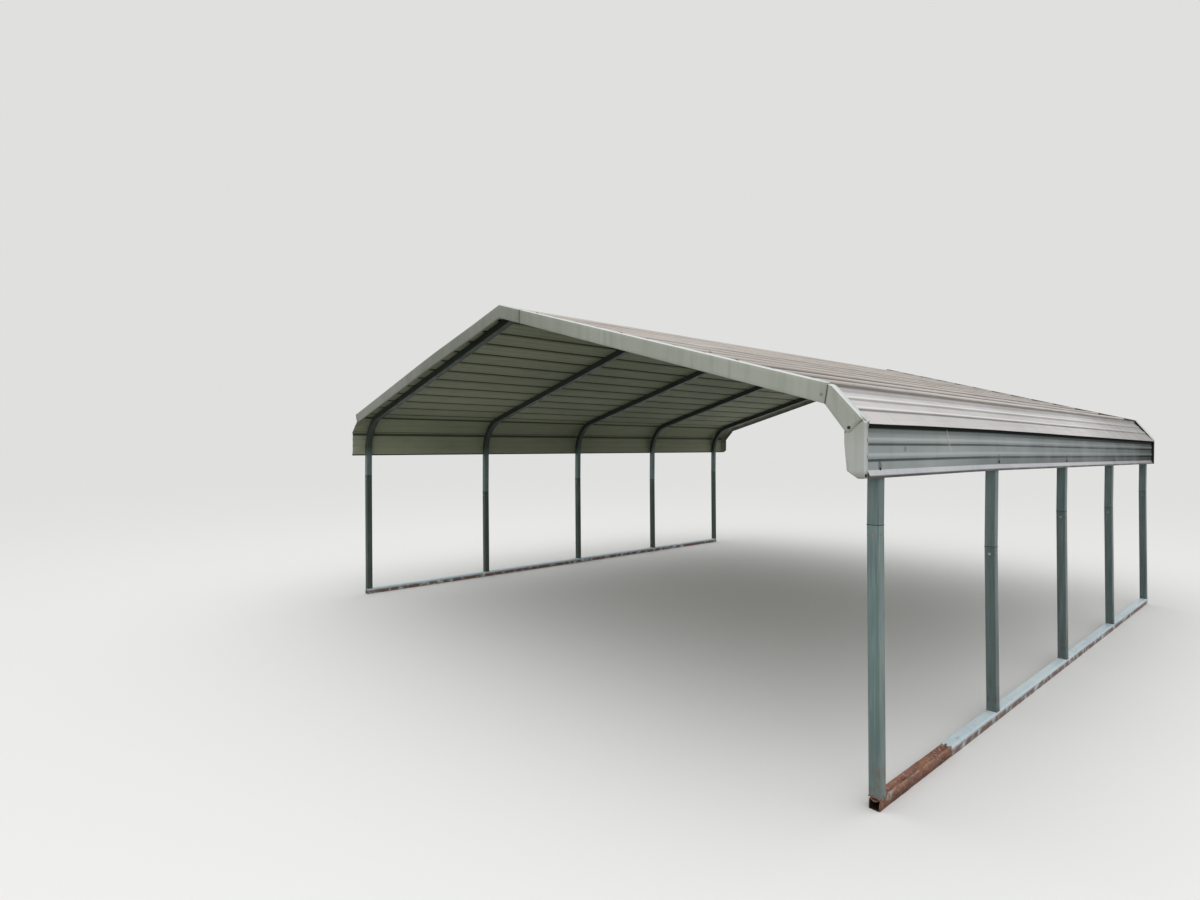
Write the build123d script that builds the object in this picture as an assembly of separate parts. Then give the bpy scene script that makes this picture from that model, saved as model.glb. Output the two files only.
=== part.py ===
from build123d import *
from math import atan, atan2, ceil, cos, degrees, floor, radians, sin, tan
import os

# A carport: five bent bows of square steel tube on two ground rails, with ribbed sheets
# lying lengthwise over them. X runs across, Y along, Z up, in millimetres.
# The front gable is at -Y. The origin is the middle of the footprint, on the ground.

# Steel frame
tube = 57  # outside width of the square tube
tube_wall = 3
tube_corner = 3  # cut of the tube's outside corners
bow_count = 5
bow_spacing = 1510
post_x = 2886  # middle of a bow's leg from the middle of the carport
foot_shift = 21  # the posts lean: their feet stand this far to the right of the bows' legs
shoulder_radius = 425  # outside radius of a bow's bent shoulder
bow_legs = [265, 515, 395, 455, 375]  # straight leg of each bow below its shoulder, down to its post
rail_overhang = 2  # rail past the end posts
anchor_hole = 18  # width of the holes for the ground anchors
anchor_offset = 270  # from the middle of a post to the hole beside it

# Roof line, taken on the outside of the bows
eave_z = 1896.5  # where the roof slopes would meet the outside of the posts
slope_fall = 0.2815  # fall of the roof per unit across
slant_run = 173  # how far across the slant reaches in from the posts
slant_angle = 46.5  # of the slant below level
drop_length = 223  # upright sheet below the slant

# Ribbed sheets, measured on their undersides
sheet = 2
rib_pitch = 228.6
rib_height = 19
rib_foot = 62
rib_top = 22
minor_height = 4
minor_foot = 34
minor_top = 16
pitches_per_sheet = 4
lap_edge = 6  # flat edge of a sheet past its lap rib
slant_first_rib = 52  # middle of the slant sheet's upper small rib, from the foot of its turned-up edge
top_rib_rise = 7  # middle of the drop sheet's top rib, above the foot of the slant
eave_edge = 12  # roof sheet past the top of the slant
eave_lift = 9  # the roof's edge stands this high, over the turned-up top of the slant sheet
eave_rise_run = 20  # down the slope, while the edge rises
turned_top = 17  # from the top of the slant to the foot of its sheet's turned-up edge
roof_front_overhang = 157
roof_back_overhang = 259
open_setback = 55  # front of the left eave sheets, where the gable trim is gone

# Folded trims
trim = 2
trim_face = 88
slant_trim_face = 98
drop_trim_face = 105
trim_flange = 38
trim_lip = 16
slope_joint_x = 266  # where the right front slope trim meets the left one
foot_cut_wide = 54  # angled cut at the inner foot of a drop trim
foot_cut_high = 34
edge_face = 27  # height of the flared face of the bottom edge trim
edge_flare = 12  # how far its foot stands out
edge_return = 9  # height of the fold back under it
edge_below = 12  # its lowest point below the drop sheet

cover = pitches_per_sheet * rib_pitch
frame_half = (bow_count - 1) * bow_spacing / 2
roof_length = 2 * frame_half + tube + roof_front_overhang + roof_back_overhang
front_y = -roof_length / 2
back_y = roof_length / 2
first_bow_y = front_y + roof_front_overhang + tube / 2
post_out = post_x + tube / 2
slope_angle = degrees(atan(slope_fall))
ridge_z = eave_z + slope_fall * post_out
slant_top_x = post_out - slant_run
slant_top_z = ridge_z - slope_fall * slant_top_x
slant_bottom_z = slant_top_z - slant_run * tan(radians(slant_angle))
slant_length = slant_run / cos(radians(slant_angle))
slope_length = slant_top_x / cos(radians(slope_angle))
shoulder_start_z = eave_z - shoulder_radius * tan(radians(90 - slope_angle) / 2)
trim_stand = rib_height + 2 * sheet  # trim flange over the bows, resting on the lap ribs


def write(node, shape):
    shape.label = node
    export_step(shape, f"parts/{node}.step")


def mirrored(shape):
    return mirror(shape, about=Plane.YZ)


def lengthwise(face, start_y, length):
    # a section drawn in X and Z, extruded along Y
    return extrude(Plane.XZ * Pos(0, 0, -start_y) * face, amount=-length)


def band(points, thickness):
    # a bent strip of even thickness, on the outer side of a line drawn outward and down
    steps = [(after - before).normalized() for before, after in zip(points, points[1:])]
    normals = [Vector(-step.Y, step.X) for step in steps]
    pairs = zip([normals[0]] + normals, normals + [normals[-1]])
    outer = []
    for point, (first, second) in zip(points, pairs):
        both = first + second
        outer.append(point + both * (2 * thickness / both.dot(both)))
    return make_face(Polyline(*points, *reversed(outer), close=True))


# Roof line: one function per facet gives a point at a distance down it and a height off it
def facet(start_x, start_z, angle_down):
    along = Vector(cos(radians(angle_down)), -sin(radians(angle_down)))
    out = Vector(sin(radians(angle_down)), cos(radians(angle_down)))
    start = Vector(start_x, start_z)
    return lambda distance, height=0: start + along * distance + out * height


slope = facet(0, ridge_z, slope_angle)
slant = facet(slant_top_x, slant_top_z, slant_angle)
drop = facet(post_out, slant_bottom_z, 90)


# Steel frame
def tube_section():
    outside = Rectangle(tube, tube)
    outside = chamfer(outside.vertices(), tube_corner)
    return outside - Rectangle(tube - 2 * tube_wall, tube - 2 * tube_wall)


def bow_y(index):
    return first_bow_y + index * bow_spacing


def base_rail(side):
    start_y = bow_y(0) - tube / 2 - rail_overhang
    length = 2 * frame_half + tube + 2 * rail_overhang
    rail_x = side * post_x + foot_shift
    rail = lengthwise(Pos(rail_x, tube / 2) * tube_section(), start_y, length)
    for index in range(bow_count):
        # behind each post, but in front of the last one
        direction = 1 if index < bow_count - 1 else -1
        hole_y = bow_y(index) + direction * anchor_offset
        rail -= Pos(rail_x, hole_y, tube / 2) * Cylinder(anchor_hole / 2, 2 * tube)
    return rail


def splice_z(index):
    return shoulder_start_z - bow_legs[index]


def post(index, side):
    # a leaning tube with level ends
    height = splice_z(index) - tube
    foot = Pos(side * post_x + foot_shift, bow_y(index), tube) * tube_section()
    lean = Vector(-foot_shift, 0, height)
    return extrude(foot, amount=lean.length, dir=lean.normalized())


def bow(index):
    y = bow_y(index)
    middle_ridge_z = ridge_z - tube / 2 / cos(radians(slope_angle))
    corner_z = middle_ridge_z - slope_fall * post_x
    past_ridge = 2 * tube
    path = FilletPolyline(
        (post_x, y, splice_z(index)),
        (post_x, y, corner_z),
        (-past_ridge, y, middle_ridge_z + slope_fall * past_ridge),
        radius=shoulder_radius - tube / 2,
    )
    swept = sweep(Pos(post_x, y, splice_z(index)) * tube_section(), path=path)
    half_space = Pos(post_x, y, ridge_z / 2) * Box(2 * post_x, 2 * tube, 2 * ridge_z)
    half = swept & half_space
    return half + mirrored(half)


# Ribs of the sheets, as points on the underside
def rib(line, middle, foot, top, height):
    return [
        line(middle - foot / 2),
        line(middle - top / 2, height),
        line(middle + top / 2, height),
        line(middle + foot / 2),
    ]


def major_rib(line, middle):
    return rib(line, middle, rib_foot, rib_top, rib_height)


def minor_rib(line, middle):
    return rib(line, middle, minor_foot, minor_top, minor_height)


def ribs_between(line, start, end, major_middle):
    # a large rib at every pitch from major_middle and two small ones between, where they fit
    points = []
    step = rib_pitch / 3
    for count in range(floor((start - major_middle) / step), ceil((end - major_middle) / step)):
        middle = major_middle + count * step
        is_major = count % 3 == 0
        half_foot = (rib_foot if is_major else minor_foot) / 2
        if middle - half_foot >= start and middle + half_foot <= end:
            points += major_rib(line, middle) if is_major else minor_rib(line, middle)
    return points


def lap_start(line, middle):
    # the covered half of a lap rib
    return major_rib(line, middle)[1:]


def lap_end(line, middle):
    # the covering half: one sheet higher, and outside the covered rib
    flank = atan2(rib_height, (rib_foot - rib_top) / 2)
    wider = sheet * tan(flank / 2)
    return [
        line(middle - rib_foot / 2),
        line(middle - rib_top / 2, rib_height + sheet),
        line(middle + rib_top / 2 + wider, rib_height + sheet),
        line(middle + rib_foot / 2 + wider, sheet),
        line(middle + rib_foot / 2 + wider + lap_edge, sheet),
    ]


def sheet_piece(points):
    return lengthwise(band(points, sheet), front_y + trim, roof_length - 2 * trim)


def cut_back(shape):
    # takes the front end off a left eave sheet
    reach = 2 * post_x
    return shape - Pos(-reach, front_y, ridge_z / 2) * Box(2 * reach, 2 * open_setback, 2 * ridge_z)


def ridge_sheet():
    lap_rib = cover / 2
    right = ribs_between(slope, 0, lap_rib - rib_foot / 2, lap_rib) + lap_end(slope, lap_rib)
    left = [Vector(-point.X, point.Y) for point in reversed(right)]
    return sheet_piece(left + [slope(0)] + right)


def cover_sheet(first_rib):
    last_rib = first_rib + cover
    points = lap_start(slope, first_rib)
    points += ribs_between(slope, first_rib + rib_foot / 2, last_rib - rib_foot / 2, first_rib)
    return sheet_piece(points + lap_end(slope, last_rib))


def eave_sheet(first_rib):
    points = lap_start(slope, first_rib)
    edge_start = slope_length + eave_edge - eave_rise_run
    points += ribs_between(slope, first_rib + rib_foot / 2, edge_start, first_rib)
    crest = edge_start + eave_rise_run
    return sheet_piece(points + [slope(edge_start), slope(crest, eave_lift)])


def slant_sheet():
    # turned up under the roof's edge, then flat to the rib at the top of the drop sheet
    top_edge = slope(slope_length + eave_edge - sheet, eave_lift - sheet / 2)
    upper = slant(turned_top)
    lower = drop(-top_rib_rise, rib_height + sheet)
    run = lower - upper
    skin = facet(upper.X, upper.Y, degrees(atan2(-run.Y, run.X)))
    points = [top_edge, skin(0)] + minor_rib(skin, slant_first_rib)
    points += minor_rib(skin, slant_first_rib + rib_pitch / 3)
    return sheet_piece(points + [skin(run.length)])


def drop_sheet():
    # its top is the lower half of a large rib
    points = [drop(-top_rib_rise, rib_height)] + major_rib(drop, -top_rib_rise)[2:]
    points += ribs_between(drop, rib_foot / 2 - top_rib_rise, drop_length, -top_rib_rise)
    return sheet_piece(points + [drop(drop_length)])


def bottom_trim():
    # flares out over the foot of the drop sheet and folds back under it
    foot = drop_length + edge_below
    points = [
        drop(foot - edge_return - edge_face, sheet),
        drop(foot - edge_return, sheet + edge_flare),
        drop(foot, sheet + edge_flare / 2),
    ]
    return lengthwise(band(points, trim), front_y + trim, roof_length - 2 * trim)


# Gable trims: face plate, flange over the ribs and a turned lip, mitred where the facets meet
def roof_line(height):
    half_turns = (0, slant_angle - slope_angle, 90 - slant_angle)
    ridge_rise = height / cos(radians(slope_angle))
    top_shift = height * tan(radians(half_turns[1] / 2))
    bottom_shift = height * tan(radians(half_turns[2] / 2))
    return [
        Vector(0, ridge_z + ridge_rise),
        slope(slope_length + top_shift, height),
        slant(slant_length + bottom_shift, height),
        drop(drop_length + edge_below, height),
    ]


def strip(section, outer_height, inner_height):
    # one facet of the band between two offsets of the roof line
    outer = roof_line(outer_height)[section : section + 2]
    inner = roof_line(inner_height)[section : section + 2]
    return make_face(Polyline(*outer, *reversed(inner), close=True))


def folded(section, at_front, shape_face=lambda face: face):
    outer = trim_stand + trim
    inner = outer - (trim_face, slant_trim_face, drop_trim_face)[section]

    def plate(face, depth):
        start = front_y if at_front else back_y - depth
        return lengthwise(face, start, depth)

    face_plate = plate(shape_face(strip(section, outer, inner)), trim)
    flange = plate(strip(section, outer, trim_stand), trim_flange)
    lip = plate(shape_face(strip(section, inner + trim, inner)), trim_lip)
    return face_plate + flange + lip


def drop_foot(face):
    # the angled cut at the inner foot
    inner_corner = roof_line(trim_stand + trim - drop_trim_face)[3]
    across = inner_corner + Vector(foot_cut_wide, 0)
    up = inner_corner + Vector(0, foot_cut_high)
    return face - make_face(Polyline(inner_corner, across, up, close=True))


def joint_side(keep_inner):
    # the part of the right slope on one side of the upright joint near the ridge
    middle = slope_joint_x / 2 if keep_inner else slope_joint_x + post_x
    width = slope_joint_x if keep_inner else 2 * post_x
    return Pos(middle, 0, ridge_z) * Box(width, 2 * roof_length, 2 * ridge_z)


os.makedirs("parts", exist_ok=True)

for name, side in (("right", 1), ("left", -1)):
    write(f"base_rail_{name}", base_rail(side))
    for index in range(bow_count):
        write(f"post_{name}_{index + 1}", post(index, side))
for index in range(bow_count):
    write(f"bow_{index + 1}", bow(index))

roof_sheets = {
    "roof_sheet_{}_upper": cover_sheet(cover / 2),
    "roof_sheet_{}_middle": cover_sheet(cover * 3 / 2),
    "roof_sheet_{}_lower": eave_sheet(cover * 5 / 2),
}
eave_sheets = {
    "slant_sheet_{}": slant_sheet(),
    "drop_sheet_{}": drop_sheet(),
    "bottom_trim_{}": bottom_trim(),
}
write("roof_sheet_ridge", ridge_sheet())
for name, shape in roof_sheets.items():
    write(name.format("right"), shape)
    write(name.format("left"), mirrored(shape))
for name, shape in eave_sheets.items():
    write(name.format("right"), shape)
    write(name.format("left"), cut_back(mirrored(shape)))

# The front left slant and drop trims are gone
front_slope = folded(0, True)
write("front_trim_slope_left", mirrored(front_slope) + (front_slope & joint_side(True)))
write("front_trim_slope_right", front_slope & joint_side(False))
write("front_trim_slant_right", folded(1, True))
write("front_trim_drop_right", folded(2, True, drop_foot))
back_trims = {
    "back_trim_slope_{}": folded(0, False),
    "back_trim_slant_{}": folded(1, False),
    "back_trim_drop_{}": folded(2, False, drop_foot),
}
for name, shape in back_trims.items():
    write(name.format("right"), shape)
    write(name.format("left"), mirrored(shape))
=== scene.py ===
import math

import bmesh
import bpy
from mathutils import Matrix, Vector, noise


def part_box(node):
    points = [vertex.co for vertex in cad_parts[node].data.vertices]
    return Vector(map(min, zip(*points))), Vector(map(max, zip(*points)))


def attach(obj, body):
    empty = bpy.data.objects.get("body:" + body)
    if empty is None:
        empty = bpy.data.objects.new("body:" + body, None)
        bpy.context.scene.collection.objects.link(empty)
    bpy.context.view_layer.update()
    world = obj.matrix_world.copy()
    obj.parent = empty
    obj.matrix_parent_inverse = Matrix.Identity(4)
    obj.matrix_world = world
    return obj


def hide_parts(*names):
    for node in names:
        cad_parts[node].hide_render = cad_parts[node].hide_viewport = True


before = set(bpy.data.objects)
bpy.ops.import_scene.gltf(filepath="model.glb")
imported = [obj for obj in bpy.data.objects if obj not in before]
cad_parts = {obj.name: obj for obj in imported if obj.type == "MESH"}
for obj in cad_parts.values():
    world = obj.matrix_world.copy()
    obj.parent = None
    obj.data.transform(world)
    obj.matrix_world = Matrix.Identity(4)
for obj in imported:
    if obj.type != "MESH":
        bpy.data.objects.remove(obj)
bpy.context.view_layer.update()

# Open carport of bent square tube under lengthwise ribbed sheets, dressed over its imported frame.
# Metres. X runs across, Y along, Z up; the front gable is at -Y.

carport = {
    "postOut": 2.9145,  # outside of the bows' legs
    "fall": 0.2815,  # of the roof per metre across
    "ridgeZ": 2.71693,  # underside of the sheets at the ridge
    "ridgeRound": 0.05,  # either side of it, where a sheet's outward side turns over
    "slantTopX": 2.7415,
    "slantAngle": 46.5,
    "dropLength": 0.223,
    "edgeBelow": 0.012,  # how far the bottom trim goes below the drop sheet
    "halfLength": 3.2565,
    "bowY": [-3.071, -1.561, -0.051, 1.459, 2.969],
    "spliceZ": [1.3096, 1.0596, 1.1796, 1.1196, 1.1996],
    "tube": 0.057,
    "rounding": 0.0015,  # of its corners
    "railX": 2.907,  # of the right rail
    "footLean": 0.021,  # feet stand this far to the right of the bows' legs
    "postX": 2.886,
}
front, back = -carport["halfLength"], carport["halfLength"]
halfTube = carport["tube"] / 2
sides = {"right": 1, "left": -1}


class Facet:
    # one of the roof's three faces; gives points in X and Z at a distance down it and a height off it
    def __init__(self, startX, startZ, tilt, length):
        self.start = Vector((startX, startZ))
        self.along = Vector((math.cos(tilt), -math.sin(tilt)))
        self.out = Vector((math.sin(tilt), math.cos(tilt)))
        self.length = length

    def __call__(self, distance, height=0.0):
        return self.start + self.along * distance + self.out * height

    def down(self, point):
        # distance down the facet of a point on either side
        return (Vector((abs(point.x), point.y)) - self.start).dot(self.along)

    def outward(self, x):
        side = max(-1, min(1, x / carport["ridgeRound"]))
        return Vector((self.out.x * side, 0, self.out.y)).normalized()


roofTilt = math.atan(carport["fall"])
slantTilt = math.radians(carport["slantAngle"])
slantTopZ = carport["ridgeZ"] - carport["fall"] * carport["slantTopX"]
slantRun = carport["postOut"] - carport["slantTopX"]
dropTopZ = slantTopZ - slantRun * math.tan(slantTilt)
slope = Facet(0, carport["ridgeZ"], roofTilt, carport["slantTopX"] / math.cos(roofTilt))
slant = Facet(carport["slantTopX"], slantTopZ, slantTilt, slantRun / math.cos(slantTilt))
drop = Facet(carport["postOut"], dropTopZ, math.pi / 2, carport["dropLength"])
print("roof line set out, drop sheets from", round(dropTopZ, 4))


# camera, floor and light
view = {
    "position": (4.33407, -6.07034, 1.68009),
    "yaw": -0.842755,
    "pitch": -0.010636,
    "roll": 0.005295,
    "lens": 19.988,
}
studio = {
    "sky": (0.80, 0.80, 0.80),
    "backdrop": (0.745, 0.746, 0.738),  # as the far floor is seen
    "floorSeen": (0.93, 0.93, 0.92),
    "floorBounce": (0.30, 0.30, 0.27),
    "floorHalf": 60,
    "lamps": {  # watts, size, place and aim of the soft lamps above and in front
        "overhead": (190, 9, (1.5, -1.5, 8.5), (0, 0, 1)),
        "side": (60, 5, (6.5, -8.5, 4.5), (0.5, -1, 1.2)),
    },
}


def addObject(name, data):
    thing = bpy.data.objects.new(name, data)
    bpy.context.scene.collection.objects.link(thing)
    return thing


def aimCamera():
    camera = bpy.data.cameras.new("view")
    camera.sensor_width = 36
    camera.lens = view["lens"]
    camera.clip_end = 200
    placed = Matrix.Translation(view["position"])
    for angle, axis in ((-view["yaw"], "Z"), (math.pi / 2 + view["pitch"], "X"), (view["roll"], "Z")):
        placed = placed @ Matrix.Rotation(angle, 4, axis)
    holder = addObject("view", camera)
    holder.matrix_world = placed
    bpy.context.scene.camera = holder


def seenRay(tree):
    # 1 for rays from the camera, off gloss and through glass
    path = tree.nodes.new("ShaderNodeLightPath")
    seen = path.outputs["Is Camera Ray"]
    for name in ("Is Glossy Ray", "Is Transmission Ray"):
        larger = tree.nodes.new("ShaderNodeMath")
        larger.operation = "MAXIMUM"
        tree.links.new(seen, larger.inputs[0])
        tree.links.new(path.outputs[name], larger.inputs[1])
        seen = larger.outputs[0]
    return seen


def lightAndLook(tree, outputKind, shaderKind, bounced, seen):
    # one colour for the light that bounces, another for what is seen
    tree.nodes.clear()
    output = tree.nodes.new("ShaderNode" + outputKind)
    mix = tree.nodes.new("ShaderNodeMixShader")
    tree.links.new(seenRay(tree), mix.inputs[0])
    for socket, colour in ((1, bounced), (2, seen)):
        shader = tree.nodes.new("ShaderNode" + shaderKind)
        shader.inputs[0].default_value = (*colour, 1)
        tree.links.new(shader.outputs[0], mix.inputs[socket])
    tree.links.new(mix.outputs[0], output.inputs[0])


def lightStudio():
    world = bpy.data.worlds.new("studio")
    bpy.context.scene.world = world
    world.use_nodes = True
    lightAndLook(world.node_tree, "OutputWorld", "Background", studio["sky"], studio["backdrop"])
    for name, (watts, size, place, target) in studio["lamps"].items():
        lamp = bpy.data.lights.new(name, "AREA")
        lamp.energy = watts
        lamp.size = size
        holder = addObject(name, lamp)
        holder.location = place
        holder.rotation_euler = (Vector(target) - Vector(place)).to_track_quat("-Z", "Y").to_euler()
    floorMesh = bpy.data.meshes.new("floor")
    corners = [Vector((x, y, 0)) * studio["floorHalf"] for x, y in ((-1, -1), (1, -1), (1, 1), (-1, 1))]
    floorMesh.from_pydata(corners, [], [(0, 1, 2, 3)])
    finish = bpy.data.materials.new("paleFloor")
    finish.use_nodes = True
    lightAndLook(finish.node_tree, "OutputMaterial", "BsdfDiffuse", studio["floorBounce"], studio["floorSeen"])
    floorMesh.materials.append(finish)
    floor = addObject("floor", floorMesh)


bpy.context.scene.view_settings.view_transform = "Standard"
aimCamera()
lightStudio()
print("camera, floor and light set")


# finishes
def tone(red, green, blue):
    # a colour as the eye reads it, 0 to 255, turned into the renderer's linear values
    def linear(value):
        value /= 255
        return value / 12.92 if value <= 0.04045 else ((value + 0.055) / 1.055) ** 2.4

    return (linear(red), linear(green), linear(blue), 1)


class Finish:
    # a node material in layers over its ground, which is the first colour of its look
    def __init__(self, name, look, rough, metal=0.0, laid=False, gloss=0.3):
        self.look = {part: tone(*colour) for part, colour in look.items()}
        self.material = bpy.data.materials.new(name)
        self.material.use_nodes = True
        self.tree = self.material.node_tree
        self.tree.nodes.clear()
        output = self.node("OutputMaterial")
        self.shader = self.node("BsdfPrincipled")
        self.put(self.shader.outputs[0], output.inputs[0])
        for socket, value in (("Metallic", metal), ("Roughness", rough), ("Specular IOR Level", gloss)):
            self.put(value, self.shader.inputs[socket])
        self.object = self.node("TexCoord").outputs["Object"]
        # sheets: distance down the facet, place along, side
        self.coords = self.attribute("laid", "Vector") if laid else self.object
        self.colour = next(iter(self.look.values()))
        self.height = None

    def node(self, kind):
        return self.tree.nodes.new("ShaderNode" + kind)

    def put(self, value, socket):
        # a link from another node, or else a constant
        if isinstance(value, bpy.types.NodeSocket):
            self.tree.links.new(value, socket)
        else:
            socket.default_value = value

    def attribute(self, name, output="Fac"):
        reader = self.node("Attribute")
        reader.attribute_name = name
        return reader.outputs[output]

    def reckon(self, operation, first, second=0.0, kind="Math", output=0):
        result = self.node(kind)
        result.operation = operation
        self.put(first, result.inputs[0])
        self.put(second, result.inputs[1])
        return result.outputs[output]

    def vector(self, operation, first, second, output=0):
        return self.reckon(operation, first, second, "VectorMath", output)

    def times(self, first, *others):
        for other in others:
            first = self.reckon("MULTIPLY", first, other)
        return first

    def rest(self, mask):
        return self.reckon("SUBTRACT", 1.0, mask)

    def mapped(self, value, start, end, low=0.0, high=1.0, kind="LINEAR"):
        spread = self.node("MapRange")
        spread.interpolation_type = kind
        for socket, number in (("From Min", start), ("From Max", end), ("To Min", low), ("To Max", high)):
            spread.inputs[socket].default_value = number
        self.put(value, spread.inputs["Value"])
        return spread.outputs[0]

    def reach(self, value, near, far):
        # 1 up to near, fading to 0 at far
        return self.mapped(value, near, far, 1, 0, "SMOOTHSTEP")

    def part(self, vector, name):
        split = self.node("SeparateXYZ")
        self.put(vector, split.inputs[0])
        return split.outputs[name]

    def along(self, name):
        return self.part(self.coords, name)

    def axis(self, name, start, end):
        # 0 to 1 as the place along an axis goes from start to end
        return self.mapped(self.along(name), start, end)

    def facing(self, name, start, end):
        # 0 to 1 as the surface turns toward an axis of the object
        return self.mapped(self.part(self.node("TexCoord").outputs["Normal"], name), start, end)

    def rightSide(self):
        return self.axis("Z", -3, 3)

    def lines(self, first, pitch, width):
        # thin lines along a sheet, repeated down the facet
        away = self.reckon("PINGPONG", self.reckon("SUBTRACT", self.along("X"), first), pitch / 2)
        return self.reach(away, width * 0.4, width)

    def band(self, name, start, end, soft=0.003):
        # 1 between two places on an axis
        away = self.reckon("ABSOLUTE", self.reckon("SUBTRACT", self.along(name), (start + end) / 2))
        half = (end - start) / 2
        return self.reach(away, half - soft, half + soft)

    def spot(self, place, radius):
        # a round mark at a place on the object
        return self.reach(self.vector("DISTANCE", self.object, place, "Value"), radius * 0.35, radius)

    def scratch(self, start, end, width):
        # a straight mark between two places
        start, end = Vector(start), Vector(end)
        along = (end - start).normalized()
        offset = self.vector("SUBTRACT", self.object, start)
        passed = self.reckon("MAXIMUM", self.vector("DOT_PRODUCT", offset, along, "Value"), 0.0)
        nearest = self.vector("MULTIPLY", self.reckon("MINIMUM", passed, (end - start).length), along)
        return self.reach(self.vector("DISTANCE", offset, nearest, "Value"), width * 0.3, width)

    def grain(self, scale, stretch=(1, 1, 1), detail=3.0, low=0.35, high=0.65, shift=(0, 0, 0)):
        # soft noise, 0 below low and 1 above high, drawn out by stretch
        mapping = self.node("Mapping")
        mapping.inputs["Scale"].default_value = stretch
        mapping.inputs["Location"].default_value = shift
        self.put(self.coords, mapping.inputs["Vector"])
        texture = self.node("TexNoise")
        texture.inputs["Scale"].default_value = scale
        texture.inputs["Detail"].default_value = detail
        self.put(mapping.outputs[0], texture.inputs["Vector"])
        return self.mapped(texture.outputs[0], low, high)

    def layer(self, part, amount, *masks):
        # lays a colour of the look over what is there, where all masks are 1
        mix = self.node("Mix")
        mix.data_type = "RGBA"
        self.put(self.times(*masks, amount), mix.inputs["Factor"])
        self.put(self.colour, mix.inputs[6])
        self.put(self.look[part], mix.inputs[7])
        self.colour = mix.outputs[2]

    def grained(self, part, amount, *grain):
        self.layer(part, amount, self.grain(*grain))

    def roughen(self, low, high, *grain):
        self.put(self.mapped(self.grain(*grain), 0, 1, low, high), self.shader.inputs["Roughness"])

    def raised(self, depth, strength, *grain):
        bump = self.node("Bump")
        bump.inputs["Strength"].default_value = strength
        bump.inputs["Distance"].default_value = depth
        self.put(self.grain(*grain), bump.inputs["Height"])
        if self.height:
            self.put(self.height, bump.inputs["Normal"])
        self.height = bump.outputs[0]
        self.put(self.height, self.shader.inputs["Normal"])

    def done(self):
        self.put(self.colour, self.shader.inputs["Base Color"])
        return self.material


# the sheets' ribs run along Y, so x of the laid coordinates runs down the facet
ribs = {"pitch": 0.2286, "foot": 0.031, "smallFoot": 0.017}
dropMarks = {
    "screws": [(-3.095, 1.568), (-1.536, 1.576), (-0.056, 1.562), (1.478, 1.546), (3.041, 1.539)],  # Y and Z
    "face": 2.918,
    "scratch": ((2.918, -2.350, 1.748), (2.918, -2.294, 1.652)),
    "scrape": ((2.918, -2.336, 1.748), (2.918, -2.280, 1.652)),  # pale, beside the scratch
    "blot": (2.918, -2.839, 1.659),
}
roofMarks = [((2.247, -2.824, 2.09), 0.030), ((1.780, -2.913, 2.22), 0.022), ((1.716, 1.468, 2.24), 0.020)]
leftShift = 20  # of the laid coordinates on the left, so that its grain differs


def roofPaint():
    look = {"paint": (182, 175, 168), "faded": (160, 152, 146), "pink": (178, 164, 159), "stainAndShade": (112, 103, 97),
            "dirtAndShade": (84, 76, 70), "wearAndHighlight": (218, 212, 207), "spot": (60, 54, 50)}
    pitch, bend = ribs["pitch"], slope.length
    paint = Finish("taupeRoofPaint", look, 0.55, laid=True)
    paint.grained("faded", 1, 1.3, (1, 0.35, 1))
    paint.grained("pink", 0.5, 0.9, (2, 0.5, 1), 2, 0.45, 0.7, (5, 1, 0))
    lowDown = paint.axis("X", bend - 0.8, bend - 0.15)
    paint.layer("wearAndHighlight", 0.6, lowDown, paint.axis("Y", -3.2, -1.6), paint.rightSide())  # paler low on the right slope, fading out toward the front end
    paint.grained("stainAndShade", 0.14, 10, (0.3, 2.6, 1), 4, 0.52, 0.8)  # runs down the slope
    paint.grained("stainAndShade", 0.34, 9, (3, 0.25, 1), 3, 0.52, 0.75)  # drawn along the ribs
    paint.grained("wearAndHighlight", 0.35, 16, (3, 0.12, 1), 3, 0.55, 0.72, (2, 4, 0))
    # painted shade along the lower foot of each rib and a painted highlight on its edge above, fainter at the
    # small ones
    for start, foot, share in ((0, "foot", 1.0), (pitch / 3, "smallFoot", 0.7), (pitch * 2 / 3, "smallFoot", 0.7)):
        paint.layer("dirtAndShade", 0.8 * share, paint.lines(start + ribs[foot] + 0.001, pitch, 0.013))
        paint.layer("wearAndHighlight", 0.48 * share, paint.lines(start + ribs[foot] * 0.35, pitch, 0.007))
    # painted shade in a band at the bend, under the roof sheet's edge
    paint.layer("stainAndShade", 0.85, paint.band("X", bend - 0.020, bend + 0.05))
    besideRibs = paint.rest(paint.lines(0, pitch, 0.03))
    for end in (-back, back, leftShift - back, leftShift + back):  # painted shade under the flanges, right and left
        paint.layer("spot", 0.85, paint.band("Y", end - 0.075, end + 0.075, 0.006), besideRibs)
    paint.grained("stainAndShade", 0.35, 70, (1, 1, 1), 2, 0.64, 0.72)  # specks
    for place, radius in roofMarks:
        paint.layer("spot", 0.7, paint.spot(place, radius))
    paint.roughen(0.42, 0.62, 6)
    paint.raised(0.0015, 0.25, 7, (1, 0.5, 1))
    return paint.done()


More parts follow.
